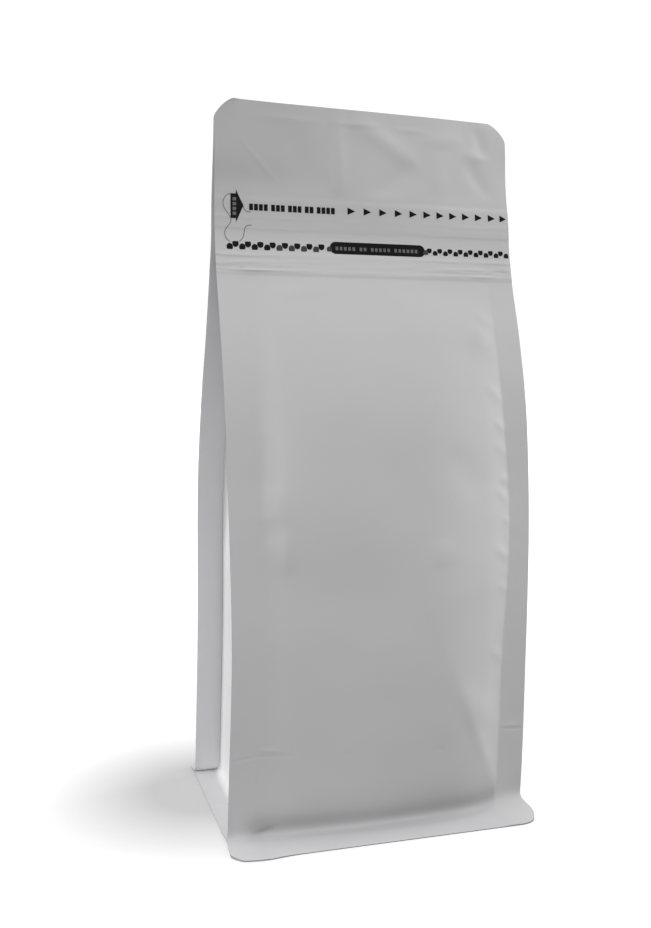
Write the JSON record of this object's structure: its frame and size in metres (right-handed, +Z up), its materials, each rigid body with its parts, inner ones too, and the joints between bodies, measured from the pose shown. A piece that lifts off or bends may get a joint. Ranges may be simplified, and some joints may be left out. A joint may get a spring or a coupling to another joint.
{
  "type": "flat-bottom pouch",
  "caption": "Shut flat-bottom film pouch with folded side gussets, upright sealed fins, a thin rounded header with tear and zip bands, and flared bottom seals.",
  "frame": {"origin": "on the floor, below the middle of the pouch's box, between the outer edges of the front and back bottom seals", "axes": "+Z up to the header, -Y the printed front panel, +X to the right as the front is seen"},
  "size_m": [0.141, 0.113, 0.3226],
  "materials": {
    "film": "matt white laminated film with a soft sheen, folded and heat sealed",
    "print": "black print on the film, slightly glossier than it"
  },
  "bodies": {
    "root": {"pouch": "film"}
  },
  "joints": []
}
